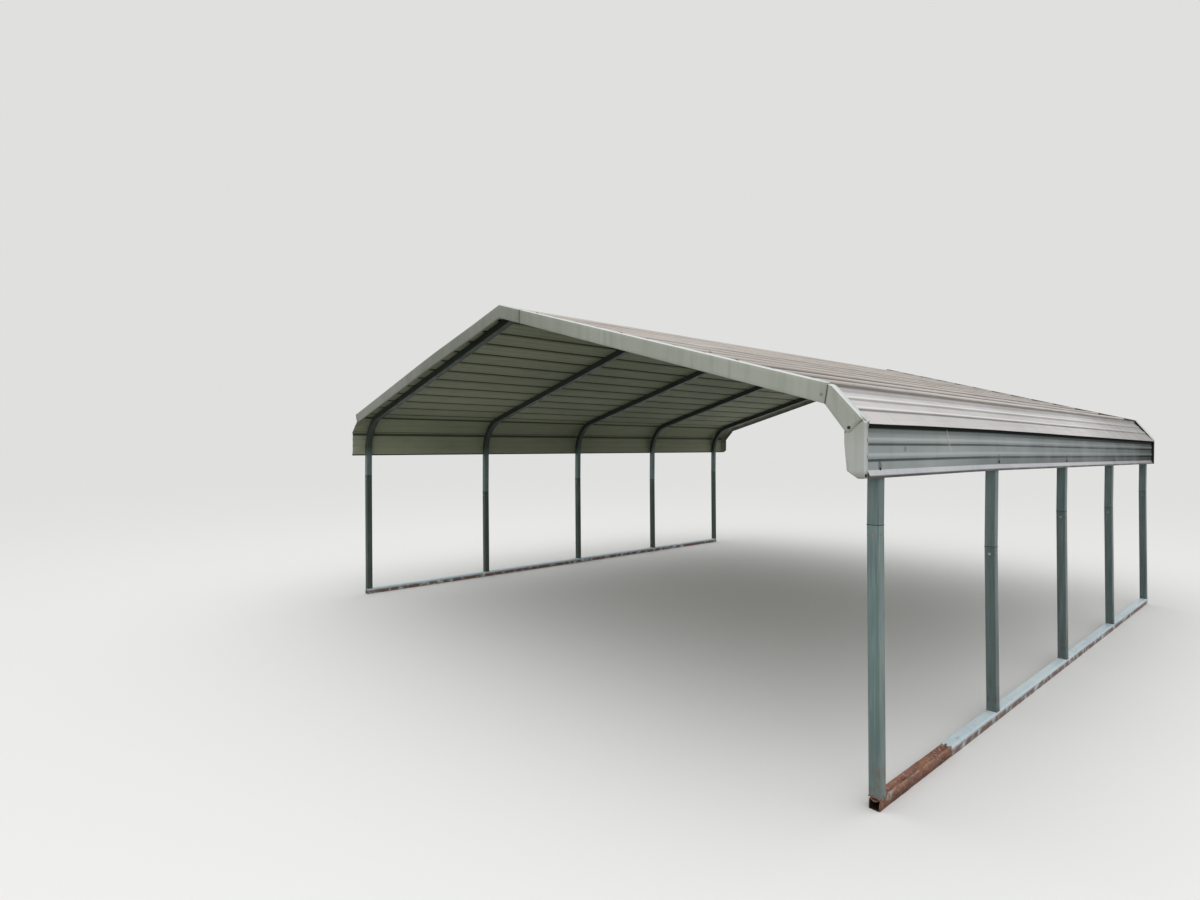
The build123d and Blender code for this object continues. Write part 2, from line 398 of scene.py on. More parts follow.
def slantPaint():
    look = {"paint": (214, 211, 210), "faded": (196, 193, 192), "stainAndShade": (140, 136, 132), "dirtAndShade": (104, 102, 100),
            "wearAndHighlight": (238, 237, 236), "gap": (40, 38, 36)}
    foot = 0.284  # where the sheet ends, past the drop sheet's face
    paint = Finish("paleSlantPaint", look, 0.5, laid=True)
    paint.grained("faded", 1, 1.7, (1, 0.4, 1))
    paint.grained("stainAndShade", 0.28, 12, (0.3, 2.2, 1), 4, 0.55, 0.8)
    paint.grained("stainAndShade", 0.25, 14, (3, 0.12, 1), 3, 0.5, 0.75)
    for middle, share in ((0.069, 0.5), (0.145, 0.85)):  # the two small ribs: painted shade below each, painted highlight above
        paint.layer("dirtAndShade", share, paint.lines(middle + 0.019, 2, 0.010))
        paint.layer("wearAndHighlight", 0.7, paint.lines(middle + 0.002, 2, 0.008))
    # painted shade on the turned-up top, under the roof's edge
    paint.layer("dirtAndShade", 0.35, paint.lines(0.026, 2, 0.012))
    paint.layer("dirtAndShade", 0.75, paint.band("X", -0.06, 0.010))
    paint.layer("stainAndShade", 0.4, paint.band("X", foot - 0.014, foot + 0.05, 0.004))
    # shade where the sheet ends short of the back trim
    slanted = paint.reckon("SUBTRACT", paint.along("Y"), paint.times(paint.along("X"), 0.25))
    paint.layer("gap", 0.9, paint.rest(paint.reach(slanted, 3.160, 3.168)), paint.reach(slanted, 3.4, 3.5))
    # painted shade toward the back, on the right
    paint.layer("stainAndShade", 0.7, paint.axis("Y", 0.5, 3.2), paint.rightSide())
    paint.grained("stainAndShade", 0.3, 90, (1, 1, 1), 2, 0.64, 0.74)
    paint.roughen(0.38, 0.58, 5)
    paint.raised(0.0015, 0.25, 6, (1, 0.5, 1))
    return paint.done()


def dropPaint():
    look = {"paint": (172, 181, 182), "faded": (154, 164, 166), "warm": (174, 179, 174), "stainAndShade": (96, 105, 105),
            "dirtAndShade": (62, 72, 74), "bright": (206, 212, 213), "dark": (42, 42, 38), "paintedShade": (62, 66, 66)}
    gloss = 0.1
    paint = Finish("coolDropPaint", look, 0.42, laid=True, gloss=gloss)
    paint.grained("faded", 1, 1.6, (1, 0.6, 1))
    paint.grained("warm", 0.5, 0.8, (1, 0.7, 1), 2, 0.45, 0.7, (3, 3, 0))
    paint.grained("stainAndShade", 0.18, 11, (0.22, 0.9, 1), 3, 0.5, 0.85)  # upright runs
    paint.grained("bright", 0.14, 12, (3, 0.2, 1), 3, 0.5, 0.75, (1, 2, 0))
    right = paint.rightSide()
    # painted shade, deepening toward the back on the right
    shadeTowardBack = paint.times(paint.axis("Y", -1.9, 3.4), right)
    paint.layer("paintedShade", 0.68, shadeTowardBack)
    paint.layer("paintedShade", 0.2, paint.axis("Y", 1.2, 3.4), right)
    # painted shade on the lower flat near the front, where dents turn it from the light
    paint.layer("paintedShade", 0.42, paint.band("X", 0.163, 0.24, 0.004), paint.axis("Y", -2.55, -1.75), right)
    highlightNearFront = paint.rest(paint.times(paint.axis("Y", -2.2, 0.6), right))
    for middle, share in ((0.0692, 0.9), (0.1454, 0.95)):  # the two small ribs: painted shade below each, deeper toward the back, and a painted highlight above, stronger near the front
        below, above = paint.lines(middle + 0.019, 2, 0.0085), paint.lines(middle - 0.006, 2, 0.010)
        paint.layer("dirtAndShade", share, below)
        paint.layer("bright", 0.2, above)
        paint.layer("bright", 0.35, above, highlightNearFront)
        paint.layer("dark", 0.3, below, shadeTowardBack)
    # never in the light, under the slant
    paint.layer("dark", 1, paint.band("X", -0.05, 0.018))
    paint.layer("dark", 0.9, paint.band("X", -0.05, 0.030), shadeTowardBack)
    paint.layer("dirtAndShade", 0.32, paint.band("X", -0.05, 0.040, 0.018))
    lit = paint.rest(paint.band("X", -0.05, 0.034, 0.004))
    duller = paint.rest(paint.times(paint.axis("Y", -1.0, 2.6), right))
    paint.put(paint.times(lit, duller, gloss), paint.shader.inputs["Specular IOR Level"])
    paint.grained("stainAndShade", 0.3, 90, (1, 1, 1), 2, 0.66, 0.76)
    face = dropMarks["face"]
    for y, z in dropMarks["screws"]:
        paint.layer("dark", 0.55, paint.spot((face, y, z + 0.012), 0.026))
        paint.layer("dirtAndShade", 0.5, paint.spot((face, y - 0.006, z + 0.034), 0.02))
    paint.layer("dirtAndShade", 0.4, paint.spot(dropMarks["blot"], 0.022))
    paint.layer("stainAndShade", 0.55, paint.scratch(*dropMarks["scratch"], 0.006))
    paint.layer("bright", 0.32, paint.scratch(*dropMarks["scrape"], 0.016))
    paint.roughen(0.3, 0.5, 4)
    paint.raised(0.002, 0.3, 5, (1, 0.6, 1))
    return paint.done()


def sheetInside():
    look = {"primer": (168, 174, 150), "dull": (147, 153, 130), "dust": (104, 105, 84), "seam": (36, 38, 29)}
    paint = Finish("oliveBacking", look, 0.6, laid=True)
    paint.grained("dull", 1, 1.1, (1, 0.5, 1))
    paint.grained("dust", 0.3, 22, (0.4, 0.15, 1), 4, 0.55, 0.8)
    paint.layer("seam", 0.85, paint.lines(0.012, ribs["pitch"], 0.013))  # shade inside each large rib
    paint.raised(0.0015, 0.2, 6, (1, 0.5, 1))
    return paint.done()


def trimPaint():
    look = {"paint": (182, 186, 176), "faded": (170, 174, 164), "green": (150, 160, 138), "stainAndShade": (112, 114, 104),
            "rust": (120, 92, 70), "seam": (44, 44, 40), "paleAndHighlight": (226, 231, 232)}
    paint = Finish("greyGreenTrimPaint", look, 0.5)
    paint.grained("faded", 1, 1.4)
    paint.grained("green", 0.6, 7, (1.6, 1, 0.2), 3, 0.52, 0.8, (2, 0, 5))
    paint.grained("stainAndShade", 0.4, 11, (2.2, 1, 0.16), 3, 0.52, 0.85)
    leftward = paint.times(paint.axis("X", 0.2, -1.0), paint.axis("X", -2.9, -1.6))
    paint.layer("stainAndShade", 0.38, paint.grain(6, (1, 1, 1), 4, 0.3, 0.6), leftward)
    paint.layer("stainAndShade", 0.46, paint.axis("X", 1.2, 0.15))  # duller toward the ridge
    paint.layer("stainAndShade", 0.14, paint.axis("X", 0.267, 0.265), paint.axis("X", -2.7, -1.2))  # the left piece
    paint.grained("rust", 0.4, 60, (1, 1, 1), 3, 0.68, 0.76)
    paint.layer("paleAndHighlight", 0.3, paint.axis("Z", 1.80, 1.66), paint.axis("X", 2.4, 2.7))  # paler on the upright piece
    # painted highlight along the flange and its fold
    paint.layer("paleAndHighlight", 0.9, paint.attribute("paleAndHighlight"))
    # painted shade with grime in the dark lines at the laps, and painted shade over the back drop piece's flange
    paint.layer("seam", 0.9, paint.attribute("grimeAndShade"))
    paint.roughen(0.36, 0.56, 5)
    paint.raised(0.001, 0.2, 8)
    return paint.done()


def edgeTrimPaint():
    look = {"paint": (216, 217, 222), "faded": (202, 203, 209), "stainAndShade": (128, 122, 122), "under": (46, 43, 38)}
    paint = Finish("lavenderEdgeTrim", look, 0.45, laid=True)
    paint.grained("faded", 1, 2.4, (1, 0.8, 1))
    paint.grained("stainAndShade", 0.3, 16, (0.3, 1.5, 1), 4, 0.55, 0.8)
    # painted shade toward the back, on the right
    paint.layer("stainAndShade", 0.75, paint.axis("Y", 0.2, 3.2), paint.rightSide())
    paint.layer("under", 0.95, paint.band("X", 0.223, 0.30, 0.004))  # painted shade on its lower half, which turns under
    paint.roughen(0.34, 0.54, 5)
    return paint.done()


zinc = {"mill": (124, 145, 143), "dull": (106, 126, 125), "pale": (160, 176, 176), "dark": (70, 86, 92),
        "rust": (120, 82, 60), "shade": (54, 58, 47), "moss": (82, 104, 52)}


def zincTube(name, paintedShadeFactor, shaded=False, moss=0.0):
    # legs keep the drawn zinc; under the roof painted shade darkens it, and the factor darkens every colour as
    # painted shade
    look = {part: [value * paintedShadeFactor for value in colour] for part, colour in zinc.items()}
    metal = Finish(name, look, 0.5, 0.2)
    metal.grained("dull", 1, 3, (1, 1, 0.4))
    metal.grained("pale", 0.5, 45, (3, 3, 0.08), 3, 0.5, 0.75)  # drawn upright
    metal.grained("dark", 0.65, 30, (3, 3, 0.1), 3, 0.55, 0.8, (3, 1, 2))
    metal.layer("pale", 0.18, metal.facing("X", 0.5, 0.9))  # painted light on faces turned to +X, the right posts' outer side
    if moss:
        metal.grained("moss", moss, 7, (1, 1, 0.4), 3, 0.2, 0.6)
    if shaded:
        metal.layer("shade", 0.86, metal.axis("Z", 1.50, 1.62))
        metal.grained("shade", 0.25, 9, (1, 1, 1), 4, 0.5, 0.8)
    else:
        metal.layer("rust", 0.7, metal.grain(24, (1, 1, 0.7), 5, 0.46, 0.66), metal.axis("Z", 0.30, 0.055))
    metal.roughen(0.36, 0.6, 12, (1, 1, 0.3))
    metal.raised(0.0006, 0.25, 35, (2, 2, 0.1))
    return metal.done()


def railZinc():
    # pale fresh zinc, painted paler still as painted sunlight
    look = {"zinc": (230, 246, 252), "dull": (212, 231, 240), "bright": (240, 248, 252), "rust": (116, 78, 58),
            "dirtAndShade": (104, 96, 84)}
    metal = Finish("brightRailZinc", look, 0.45, 0.1)
    metal.grained("dull", 1, 5, (1, 0.3, 1))
    metal.grained("bright", 0.6, 60, (1, 0.4, 1), 3, 0.55, 0.7)
    metal.layer("rust", 0.92, metal.axis("Z", 0.048, 0.030), metal.grain(14, (1, 1, 1), 4, 0.25, 0.5))
    metal.grained("dirtAndShade", 0.3, 26, (1, 0.6, 1), 5, 0.64, 0.74)
    metal.roughen(0.34, 0.6, 14)
    metal.raised(0.0008, 0.3, 40)
    return metal.done()


def eatenRust():
    look = {"rust": (162, 116, 96), "deep": (98, 70, 60), "light": (206, 172, 150), "purple": (136, 106, 100),
            "pale": (206, 200, 192)}
    rust = Finish("eatenRailRust", look, 0.85)
    rust.grained("deep", 0.75, 16, (1, 0.4, 1), 6, 0.4, 0.62)
    rust.grained("purple", 0.6, 12, (1, 0.7, 1), 5, 0.48, 0.68, (4, 2, 7))
    # painted highlight on the ridge left along the outer top edge
    ridge = rust.times(rust.band("X", 2.922, 2.934), rust.axis("Z", 0.045, 0.052))
    rust.layer("light", 0.7, rust.grain(30, (1, 0.5, 1), 4, 0.35, 0.6), ridge)
    rust.grained("light", 0.5, 60, (1, 0.8, 1), 6, 0.52, 0.66)
    rust.layer("deep", 0.55, rust.axis("Z", 0.045, 0.010))
    rust.layer("pale", 0.7, rust.spot((2.925, -3.0, 0.055), 0.045), rust.grain(40, (1, 1, 1), 4, 0.4, 0.6))
    rust.raised(0.003, 0.8, 70, (1, 0.6, 1), 8)  # flakes
    rust.raised(0.006, 0.5, 22, (1, 0.5, 1), 6)
    return rust.done()


def twoTone(name, ground, over, rough, metal, amount, *grain, lumps=None):
    # a simple finish: one colour in grains over another
    finish = Finish(name, {"ground": ground, "over": over}, rough, metal)
    finish.grained("over", amount, grain[0], (1, 1, 1), *grain[1:])
    if lumps:
        finish.raised(*lumps)
    return finish.done()


finishes = {
    "roof": roofPaint(), "slant": slantPaint(), "drop": dropPaint(), "inside": sheetInside(),
    "trim": trimPaint(), "edgeTrim": edgeTrimPaint(), "rail": railZinc(), "rust": eatenRust(),
    "edge": twoTone("cutSheetEdge", (104, 102, 94), (84, 62, 48), 0.5, 0.2, 0.7, 40, 4, 0.45, 0.6),
    "trimInside": twoTone("shadedTrimInside", (44, 43, 40), (58, 54, 48), 0.7, 0, 1, 14, 4),
    # the factor is painted shade: the front right post full, the others darker
    "frontPost": zincTube("blueGreyZinc", 1.0), "post": zincTube("zincInPaintedShade", 0.83),
    "leftPost": zincTube("mossyZincInPaintedShade", 0.68, moss=0.45), "bow": zincTube("shadedZinc", 0.9, shaded=True),
    "hollow": twoTone("darkHollow", (34, 32, 30), (52, 44, 38), 0.9, 0, 1, 30, 4),
    "weld": twoTone("rustyWeld", (130, 134, 132), (116, 76, 54), 0.6, 0.4, 0.85, 60, 5, 0.42, 0.56,
                    lumps=(0.0008, 0.6, 160)),
    "screw": twoTone("weatheredScrew", (168, 170, 166), (110, 76, 56), 0.4, 0.6, 0.6, 40, 4, 0.42, 0.58),
    "darkScrew": twoTone("darkScrew", (58, 56, 54), (74, 54, 44), 0.4, 0.6, 0.7, 40, 4, 0.42, 0.58),
}
print("finishes mixed:", len(finishes))


# every piece is part of the one body, and is smooth where it turns by fewer degrees than its turn
def addPiece(name, mesh, slot, *replaced, turn=0):
    if turn:
        mesh.shade_smooth()
        mesh.set_sharp_from_angle(angle=math.radians(turn))
    piece = addObject(name, mesh)
    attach(piece, "root")
    if replaced:
        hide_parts(*replaced)
    return piece


def meshFrom(name, places, faces, *materials):
    mesh = bpy.data.meshes.new(name)
    mesh.from_pydata(places, [], faces)
    for finish in materials:
        mesh.materials.append(finishes[finish])
    return mesh


def ringWall(base, count, ahead=0):
    # quads from a closed ring of points to the next, or to one further ahead
    ahead = base + (ahead or count)
    for column in range(count):
        following = (column + 1) % count
        yield base + column, base + following, ahead + following, ahead + column


def stackRings(places, faces, rings):
    # adds walls from ring to ring, and a lid over the last
    count = 0
    for ring in rings:
        if count:
            faces += ringWall(len(places) - count, count)
        places += ring
        count = len(ring)
    faces.append(tuple(range(len(places) - count, len(places))))


def ease(share):
    share = min(1, max(0, share))
    return share * share * (3 - 2 * share)


def bell(distance, reach):
    return math.exp(-((distance / reach) ** 2))


# the right eave has sunk toward the back
rightEave = {
    "fall": 0.0085,  # per metre
    "from": -1.75,
    "round": 0.3,  # either side of where it starts
    "spread": 0.018,
    "spreadFrom": 1.2,
    "spreadOver": 2.0,
    "left": 2.3,  # nothing moves left of this
    "foldFrom": 2.4, "foldOver": 0.34,  # across, up to the fold that spreads
}


def sagged(place, share):
    # share is 0 at the top of the slant and 1 from its foot down
    if place.x < rightEave["left"]:
        return place
    past, around = place.y - rightEave["from"], rightEave["round"]
    sunk = rightEave["fall"] * (past if past > around else max(0, past + around) ** 2 / (4 * around))
    further = rightEave["spread"] * ease((place.y - rightEave["spreadFrom"]) / rightEave["spreadOver"])
    outward = further * (1 - share) * ease((place.x - rightEave["foldFrom"]) / rightEave["foldOver"])
    return place + Vector((outward, 0, -sunk * share - outward * carport["fall"]))


# ribbed sheets
sheetForm = {
    "bend": 0.0026,  # reach of a bend's arc either side of its corner
    "bendsFrom": 8, "bendsTo": 75,  # degrees; square edges stay
    "station": 0.13,  # spacing of sections along a sheet
    "besideBow": 0.03, "closest": 0.004,
    "edgeOn": 0.1,  # a face that turns outward less than this is a cut edge
    "wave": 0.0022,  # how far a flat wanders between two bows
    "waves": (2.6, 1.3, 4),  # how often, per metre
    "hold": 0.16,  # how soon it is flat again at a bow or an end
    "roofEnd": 0.041,  # end of a roof sheet behind the gable's face
    "slantEnd": 0.020,
    "dropEnd": 0.034,
    "backEnd": 0.036,
    "openEnd": 0.020,  # and where the trim has gone
    "besideFlange": 0.039,  # end of the bottom edge, past the trim's flange
}


def endSection(node):
    # the outline of a sheet's front end, in X and Z
    sheet = bmesh.new()
    sheet.from_mesh(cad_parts[node].data)
    bmesh.ops.remove_doubles(sheet, verts=sheet.verts, dist=2e-5)
    bmesh.ops.dissolve_limit(sheet, angle_limit=math.radians(1), verts=sheet.verts, edges=sheet.edges)
    end = min(sheet.faces, key=lambda face: face.calc_center_median().y)
    points = [Vector((corner.co.x, corner.co.z)) for corner in end.verts]
    sheet.free()
    return points


def roundedBends(points):
    rounded = []
    for index, corner in enumerate(points):
        arriving, leaving = corner - points[index - 1], points[(index + 1) % len(points)] - corner
        if not sheetForm["bendsFrom"] < math.degrees(arriving.angle(leaving)) < sheetForm["bendsTo"]:
            rounded.append(corner)
            continue
        cut = min(sheetForm["bend"], 0.45 * arriving.length, 0.45 * leaving.length)
        start = corner - arriving.normalized() * cut
        end = corner + leaving.normalized() * cut
        rounded += [start, (start + 2 * corner + end) / 4, end]
    return rounded


def stationsAlong(start, end):
    count = round((end - start) / sheetForm["station"])
    marks = [start + (end - start) * index / count for index in range(count + 1)]
    for bow in carport["bowY"]:
        marks += [bow - sheetForm["besideBow"], bow, bow + sheetForm["besideBow"]]
    marks = sorted(mark for mark in marks if start <= mark <= end)
    return [mark for before, mark in zip([-math.inf] + marks, marks) if mark - before > sheetForm["closest"]]


def wander(place, outward, ends):
    # the sheet's slow waves, held flat at bows and ends
    nearest = min(abs(place.y - bow) for bow in carport["bowY"])
    nearest = max(0, min(nearest, place.y - ends[0], ends[1] - place.y))
    wave = noise.noise(place * Vector(sheetForm["waves"]))
    return outward * (sheetForm["wave"] * wave * (1 - bell(nearest, sheetForm["hold"])))


def sinkShare(face, point):
    if face is slope:
        return 0
    return 1 if face is drop else min(1, max(0, face.down(point) / face.length))


dropTop = {"recess": 0.016, "raise": 0.0135, "from": 1.738, "over": 0.020}  # it stands back under the slant's foot
ribsRaised = [(0.0, 0.0), (0.088, 0.005), (0.165, 0.010), (0.200, 0.0)]  # down the drop sheet, and how much higher


def dropPoint(point, side):
    high = ease((point.y - dropTop["from"]) / dropTop["over"])
    lifted = dropTop["raise"] * high
    distance = drop.down(point)
    for (near, low), (far, top) in zip(ribsRaised, ribsRaised[1:]):
        if near < distance <= far:
            lifted += low + (top - low) * (distance - near) / (far - near)
    return Vector((point.x - side * dropTop["recess"] * high, point.y + lifted))


def formedSheet(name, node, finish, face, ends, slot="sheet_steel", dents=()):
    section = roundedBends(endSection(node))
    side = 1 if section[0].x > 0 or node == "roof_sheet_ridge" else -1
    marks = stationsAlong(*ends)
    places, laid = [], []
    for mark in marks:
        for point in section:
            outward = face.outward(point.x)
            shaped = dropPoint(point, side) if finish == "drop" else point
            place = Vector((shaped.x, mark, shaped.y))
            place += wander(place, outward, ends)
            for y, z, depth, radius, tall in dents:
                away = Vector((mark - y, (point.y - z) * tall))
                place -= outward * depth * bell(away.length, radius)
            places.append(sagged(place, sinkShare(face, point)))
            laid += (face.down(point), mark + leftShift * (side < 0), side * 3)
    count, last = len(section), (len(marks) - 1) * len(section)
    faces = [quad for row in range(0, last, count) for quad in ringWall(row, count)]
    faces += [tuple(range(count - 1, -1, -1)), tuple(range(last, last + count))]
    mesh = meshFrom(name, places, faces, finish, "edgeTrim" if finish == "edgeTrim" else "inside", "edge")
    mesh.attributes.new("laid", "FLOAT_VECTOR", "POINT").data.foreach_set("vector", laid)
    rework = bmesh.new()
    rework.from_mesh(mesh)
    bmesh.ops.recalc_face_normals(rework, faces=rework.faces)
    for panel in rework.faces:
        facing = panel.normal.dot(face.outward(panel.calc_center_median().x))
        panel.material_index = 2 if abs(facing) <= sheetForm["edgeOn"] else 0 if facing > 0 else 1
    rework.to_mesh(mesh)
    rework.free()
    addPiece(name, mesh, slot, node, turn=28)


rightDropDents = [  # Y, Z, depth, radius and how much flatter than round
    (-2.33, 1.70, 0.003, 0.05, 0.5), (-2.10, 1.60, 0.004, 0.12, 1), (-1.75, 1.58, -0.003, 0.10, 1),
    (-1.30, 1.59, 0.003, 0.10, 1), (0.60, 1.62, 0.003, 0.14, 1),
]
backEnd, beside, openEnd = back - sheetForm["backEnd"], sheetForm["besideFlange"], front + sheetForm["openEnd"]
covered = (front + sheetForm["roofEnd"], backEnd)
formedSheet("ridge_sheet", "roof_sheet_ridge", "roof", slope, covered)
for name in sides:
    right = name == "right"
    dents = rightDropDents if right else ()
    for row in ("upper", "middle", "lower"):
        formedSheet(f"roof_{row}_{name}", f"roof_sheet_{name}_{row}", "roof", slope, covered)
    formedSheet(f"slant_{name}", f"slant_sheet_{name}", "slant", slant, (front + sheetForm["slantEnd"], backEnd))
    start = front + sheetForm["dropEnd"] if right else openEnd
    formedSheet(f"drop_{name}", f"drop_sheet_{name}", "drop", drop, (start, backEnd), dents=dents)
    start = front + beside if right else openEnd
    formedSheet(f"edge_trim_{name}", f"bottom_trim_{name}", "edgeTrim", drop, (start, back - beside),
                "trim_steel", dents)
print("ribbed sheets formed")


# folded gable trims: a face between an outer and an inner line, with a flange over the sheets and a lip
trimForm = {
    "fold": 0.0022, "arc": 0.3,  # radius of the folds, and where the middle of one lies
    "steel": 0.0013,
    "flange": 0.038,
    "lip": 0.016, "lipLean": 0.001,
    "strips": 5,  # across the face
    "bulge": 0.0014,
    "step": 0.10,  # between columns
    "setFront": 0.0045,  # leaves room for the screws
    "setBack": 0.0016,
    "paleAndHighlight": [1.0, 1.0, 0.6],  # of the flange and the fold
}


def trimColumn(outer, inner, rise, flange):
    # the bent section at one column: place in X and Z, and depth behind the face
    toward = (inner - outer).normalized()
    fold, strips, lip = trimForm["fold"], trimForm["strips"], trimForm["lip"]
    arc = fold * trimForm["arc"]
    column = [(outer - toward * rise, flange), (outer, fold), (outer + toward * arc, arc)]
    for strip in range(strips + 1):
        point = (outer + toward * fold).lerp(inner - toward * fold, strip / strips)
        swell = noise.noise(Vector((point.x * 4, point.y * 6, 3))) * math.sin(math.pi * strip / strips)
        column.append((point, swell * trimForm["bulge"]))
    return column + [(inner - toward * arc, arc), (inner, fold), (inner + toward * trimForm["lipLean"], lip)]


def foldedTrim(name, keys, node, atBack=False, side=1, layerBack=0.0, sink=None, paleAndHighlight=1.0, paintedFlangeShade=0.0,
               inside="trim"):
    # keys: outer and inner point, rise of the flange's far edge, grime with painted shade and, where it differs,
    # the flange's width
    keys = [key if len(key) == 5 else (*key, trimForm["flange"]) for key in keys]
    columns = []
    for key, following in zip(keys, keys[1:] + keys[-1:]):
        steps = max(1, round((following[0] - key[0]).length / trimForm["step"]))
        for step in range(steps):
            share = step / steps
            columns.append([value + (after - value) * share for value, after in zip(key, following)])
    places, grimeAndShadeRows, paleAndHighlightRows = [], [], []
    for outer, inner, rise, grimeAndShade, flange in columns:
        for row, (point, depth) in enumerate(trimColumn(outer, inner, rise, flange)):
            away = layerBack + depth
            y = back - trimForm["setBack"] - away if atBack else front + trimForm["setFront"] + away
            place = Vector((side * point.x, y, point.y))
            places.append(sagged(place, sink(point)) if sink and side > 0 else place)
            grimeAndShadeRows.append(grimeAndShade if row > 1 else paintedFlangeShade)
            paleAndHighlightRows.append(paleAndHighlight * trimForm["paleAndHighlight"][row] if row < 3 else 0)
    rows = trimForm["strips"] + 7
    faces = []
    for index in range(len(columns) - 1):
        for corner in range(index * rows, index * rows + rows - 1):
            around = (corner, corner + 1, corner + rows + 1, corner + rows)
            faces.append(around if (side > 0) != atBack else around[::-1])
    mesh = meshFrom(name, places, faces, "trim", inside, "edge")
    for attribute, values in (("grimeAndShade", grimeAndShadeRows), ("paleAndHighlight", paleAndHighlightRows)):
        mesh.attributes.new(attribute, "FLOAT", "POINT").data.foreach_set("value", values)
    thicken = addPiece(name, mesh, "trim_steel", node, turn=50).modifiers.new("steel", "SOLIDIFY")
    thicken.thickness = trimForm["steel"]
    thicken.offset = -1
    thicken.use_even_offset = False
    thicken.material_offset = 1
    thicken.material_offset_rim = 2


slopeTrim = {
    "outer": 0.015, "inner": -0.080,  # heights of the face's edges off the roof line
    "rise": 0.006,
    "joint": 0.266,  # where the left piece ends, over the right one
    "seam": [(-0.001, 0), (0, 1), (0.005, 1), (0.011, 0)],  # places from the joint, and the grime and painted shade there
    "hidden": 0.225,
    "rightEnd": 2.842, "rightLean": 0.010,  # down the slope, and how much further its inner edge goes
    "leftEnd": 2.893, "leftLean": -0.012,
    "leftLift": 0.024,  # the left end sits higher
    "liftOver": 1.3,
}


def slopeKey(x, grimeAndShade=0.0, lift=0.0):
    # square across the slope at a place in X
    edges = (slopeTrim["outer"] + lift, slopeTrim["inner"] + lift)
    points = (slope((x - edge * math.sin(roofTilt)) / math.cos(roofTilt), edge) for edge in edges)
    return (*points, slopeTrim["rise"], grimeAndShade)


def slopeEndKey(distance, lean, lift=0.0):
    return (slope(distance, slopeTrim["outer"] + lift), slope(distance + lean, slopeTrim["inner"] + lift),
            slopeTrim["rise"], 0.0)


def mirroredKey(key):
    return (*(point * Vector((-1, 1)) for point in key[:2]), *key[2:])


joint, lift = slopeTrim["joint"], slopeTrim["leftLift"]
foldedTrim("gable_slope_right", [
    slopeKey(slopeTrim["hidden"]), *(slopeKey(joint + shift, grimeAndShade) for shift, grimeAndShade in slopeTrim["seam"]),
    slopeEndKey(slopeTrim["rightEnd"], slopeTrim["rightLean"]),
], "front_trim_slope_right", layerBack=0.0014, paleAndHighlight=0.8)
# the left piece runs over the ridge to the joint
foldedTrim("gable_slope_left", [
    mirroredKey(slopeEndKey(slopeTrim["leftEnd"], slopeTrim["leftLean"], lift)),
    *(mirroredKey(slopeKey(x, 0, lift * ease(x / slopeTrim["liftOver"]))) for x in (1.3, 1.0, 0.7, 0.4)),
    slopeKey(0), slopeKey(joint),
], "front_trim_slope_left", paleAndHighlight=0.7)

# outer and inner points of the slant piece, as distances down the slant and heights off it, and its grime and
# painted shade
slantKeys = [
    (-0.036, -0.012, 0.020, -0.067, 0), (-0.010, 0.0035, 0.0462, -0.067, 0.9),
    (-0.006, 0.0060, 0.0505, -0.0672, 0.9), (0.0, 0.0095, 0.0565, -0.0677, 0),
    (0.0114, 0.015, 0.068, -0.0686, 0), (0.2083, 0.015, 0.2083, -0.0814, 0), (0.2275, 0.015, 0.2275, -0.0709, 0),
]
foldedTrim("gable_slant_right", [(slant(*key[:2]), slant(*key[2:4]), 0.005, key[4]) for key in slantKeys],
           "front_trim_slant_right", layerBack=0.0028)

# the drop piece's flange laps over the slant's foot before it turns down
dropTrim = {"outer": 2.918, "flange": 0.030, "lap": 0.018}
lapKeys = [  # down the slant, height off it, inner X and Z, rise, grime and painted shade
    (0.200, 0.0135, 2.8255, 1.752, 0.004, 0), (0.2270, 0.0135, 2.822, 1.7365, 0.004, 0.9),
    (0.2310, 0.0135, 2.822, 1.7320, 0.004, 0.9), (0.2360, 0.0133, 2.822, 1.7240, 0.006, 0),
]
turnKeys = [  # outer X and Z, inner X and Z, rise
    (2.9165, 1.7800, 2.822, 1.7120, 0.014), (2.9185, 1.7735, 2.822, 1.7060, 0.0185),
    (2.9188, 1.7690, 2.822, 1.7000, 0.0180),
]
faceKeys = [  # outer Z, inner X and Z, rise
    (1.7580, 2.8222, 1.6900, 0.004), (1.7480, 2.8225, 1.6800, 0.002), (1.6500, 2.8290, 1.6200, 0.002),
    (1.5650, 2.836, 1.5599, 0.002), (1.5275, 2.889, 1.5265, 0.002),
]
foldedTrim("gable_drop_right", [
    *((slant(*key[:2]), Vector(key[2:4]), *key[4:], dropTrim["lap"]) for key in lapKeys),
    *((Vector(key[:2]), Vector(key[2:4]), key[4], 0, dropTrim["lap"]) for key in turnKeys),
    *((Vector((dropTrim["outer"], key[0])), Vector(key[1:3]), key[3], 0, dropTrim["flange"]) for key in faceKeys),
], "front_trim_drop_right", layerBack=0.0042, paleAndHighlight=0.6)

backTrim = {
    "outer": 0.0225, "inner": -0.063, "slantInner": -0.073, "dropInner": -0.080,
    "rise": 0.001,
    "standOff": 0.036, "tip": -0.012,  # of the slant's flange, which tips forward
    "liftedTo": 0.235, "innerTo": 0.200,  # down the slant
    "cut": 0.054, "cutOuter": 0.036, "cutInner": 0.034,  # across and up, at the foot of the drop piece
}


def backKeys(face, end, inner, turnStart, turnEnd):
    # mitred at both ends: the turns are half the angles to the neighbouring facets
    keys = []
    for distance, turn in ((0, -turnStart), (end, turnEnd)):
        points = (face(distance + edge * math.tan(turn), edge) for edge in (backTrim["outer"], inner))
        keys.append((*points, backTrim["rise"], 0.0))
    return keys


